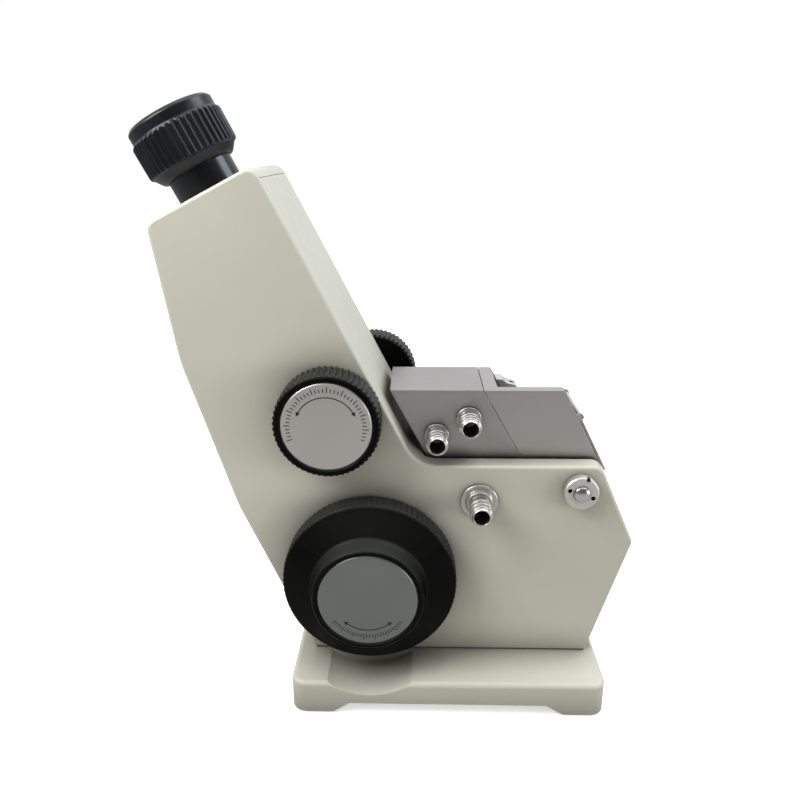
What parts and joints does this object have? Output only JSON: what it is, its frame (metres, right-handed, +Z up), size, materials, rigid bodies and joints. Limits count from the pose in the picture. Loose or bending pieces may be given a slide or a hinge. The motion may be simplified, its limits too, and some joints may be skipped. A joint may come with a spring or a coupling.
{
  "type": "abbe refractometer",
  "caption": "Bench Abbe refractometer: cast body on a flat base, tilted eyepiece, hinged water-jacketed prism pair and two control knobs.",
  "frame": {"origin": "on the table, under the middle of the overall box (the base plate's middle is 23.57 mm along +X from it)", "axes": "+X towards the prism end, +Y away from the adjustment knob's side, +Z up"},
  "size_m": [0.197, 0.1, 0.2399],
  "materials": {
    "paint": "satin warm cream-grey enamel",
    "black_plastic": "satin black",
    "black_metal": "semi-gloss black",
    "cap_aluminium": "satin anodised",
    "satin_nickel": "satin nickel plate",
    "bright_nickel": "bright nickel plate",
    "steel": "turned steel",
    "brass": "turned brass",
    "glass": "polished optical glass",
    "mirror": "silvered"
  },
  "bodies": {
    "body": {"base": "paint", "base_screws": "steel", "shell": "paint", "front_cover": "paint", "adjustment_bush": "brass", "dispersion_bush": "brass", "dial_bush": "brass", "refracting_prism_seat": "satin_nickel", "refracting_prism": "glass", "seat_screws": "steel", "seat_nozzle_low": "bright_nickel", "seat_nozzle_high": "bright_nickel", "body_nozzle_near": "bright_nickel", "body_nozzle_far": "bright_nickel", "thermometer_socket": "bright_nickel", "hinge_bearing_near": "satin_nickel", "hinge_bearing_far": "satin_nickel", "optics_frame": "black_metal", "frame_screws": "steel", "objective_tube": "black_metal", "objective_lens": "glass", "eyepiece_tube": "black_metal", "reticle": "glass", "reading_bracket": "black_metal", "reading_prism": "glass", "reading_lens": "glass", "condenser_bezel": "black_plastic", "condenser_lens": "glass"},
    "adjustment_drive": {"adjustment_knob": "black_plastic", "adjustment_cap": "cap_aluminium", "adjustment_shaft": "steel", "adjustment_pinion": "brass"},
    "scale_and_mirror": {"mirror_shaft": "steel", "mirror_holder": "black_metal", "swing_mirror": "mirror", "scale_sector": "brass", "scale_plate": "glass"},
    "dispersion_drive": {"dispersion_knob": "black_plastic", "dispersion_cap": "cap_aluminium", "dispersion_shaft": "steel"},
    "upper_prism_cell": {"upper_cell": "black_metal", "upper_amici_prism": "glass"},
    "lower_prism_cell": {"lower_cell": "black_metal", "lower_amici_prism": "glass"},
    "idler": {"idler_gear": "brass"},
    "train_wheel": {"train_gear": "brass"},
    "dial": {"dial_knob": "black_plastic", "dial_shaft": "steel"},
    "inlet_block": {"inlet_prism_seat": "satin_nickel", "inlet_prism": "glass", "hinge_shaft": "steel", "catch_bracket": "satin_nickel"},
    "shield": {"light_shield": "satin_nickel"},
    "lock": {"lock_handwheel": "black_plastic"},
    "reflector_flap": {"reflector": "black_metal", "reflector_mirror": "mirror"},
    "scale_flap": {"scale_mirror_flap": "mirror"},
    "eye_lens_carrier": {"eye_lens_cell": "black_plastic", "eye_lens": "glass"},
    "dioptre": {"dioptre_ring": "black_plastic"}
  },
  "joints": [
    {"name": "adjustment_turn", "type": "hinge", "parent": "body", "child": "adjustment_drive", "pos_m": [-0.00833, 0, 0.0536], "axis": [0, 1, 0], "range_deg": [-90, 90]},
    {"name": "mirror_swing", "type": "hinge", "parent": "body", "child": "scale_and_mirror", "pos_m": [-0.01127, 0, 0.09064], "axis": [0, 1, 0], "range_deg": [-13.5, 13.5]},
    {"name": "dispersion_turn", "type": "hinge", "parent": "body", "child": "dispersion_drive", "pos_m": [-0.02303, 0, 0.1223], "axis": [0, 1, 0], "continuous": true},
    {"name": "upper_cell_turn", "type": "hinge", "parent": "body", "child": "upper_prism_cell", "pos_m": [-0.0265, 0, 0.12053], "axis": [-0.454, 0, 0.891], "continuous": true},
    {"name": "lower_cell_turn", "type": "hinge", "parent": "body", "child": "lower_prism_cell", "pos_m": [-0.0265, 0, 0.12053], "axis": [-0.454, 0, 0.891], "continuous": true},
    {"name": "idler_turn", "type": "hinge", "parent": "body", "child": "idler", "pos_m": [-0.02997, 0, 0.11876], "axis": [0, 1, 0], "continuous": true},
    {"name": "train_turn", "type": "hinge", "parent": "body", "child": "train_wheel", "pos_m": [-0.01975, 0, 0.11993], "axis": [0, 1, 0], "continuous": true},
    {"name": "dial_turn", "type": "hinge", "parent": "body", "child": "dial", "pos_m": [-0.00953, 0, 0.1211], "axis": [0, 1, 0], "continuous": true},
    {"name": "inlet_open", "type": "hinge", "parent": "body", "child": "inlet_block", "pos_m": [0.07537, 0, 0.0913], "axis": [0, 1, 0], "range_deg": [0, 115]},
    {"name": "shield_open", "type": "hinge", "parent": "inlet_block", "child": "shield", "pos_m": [0.07572, 0, 0.1183], "axis": [0, -1, 0], "range_deg": [0, 140]},
    {"name": "lock_turn", "type": "hinge", "parent": "body", "child": "lock", "pos_m": [0.03557, 0, 0.113], "axis": [0, 1, 0], "range_deg": [0, 150]},
    {"name": "reflector_open", "type": "hinge", "parent": "body", "child": "reflector_flap", "pos_m": [0.09544, 0, 0.0623], "axis": [0, -1, 0], "range_deg": [0, 85]},
    {"name": "scale_flap_open", "type": "hinge", "parent": "body", "child": "scale_flap", "pos_m": [-0.00957, 0.0314, 0.08221], "axis": [1, 0, 0], "range_deg": [0, 110]},
    {"name": "dioptre_slide", "type": "slide", "parent": "body", "child": "eye_lens_carrier", "axis": [-0.454, 0, 0.891], "range_m": [-0.00151, 0.00151]},
    {"name": "dioptre_turn", "type": "hinge", "parent": "eye_lens_carrier", "child": "dioptre", "pos_m": [-0.06893, 0, 0.2038], "axis": [-0.454, 0, 0.891], "range_deg": [-90, 90]}
  ],
  "couplings": [
    {"joint": "mirror_swing", "follows": "adjustment_turn", "ratio": -0.14815},
    {"joint": "upper_cell_turn", "follows": "dispersion_turn", "ratio": 0.33333},
    {"joint": "lower_cell_turn", "follows": "dispersion_turn", "ratio": -0.33333},
    {"joint": "idler_turn", "follows": "dispersion_turn", "ratio": -1},
    {"joint": "train_turn", "follows": "dispersion_turn", "ratio": 0.66667},
    {"joint": "dial_turn", "follows": "dispersion_turn", "ratio": -1},
    {"joint": "dioptre_slide", "follows": "dioptre_turn", "m_per_rad": 0.00095493}
  ]
}
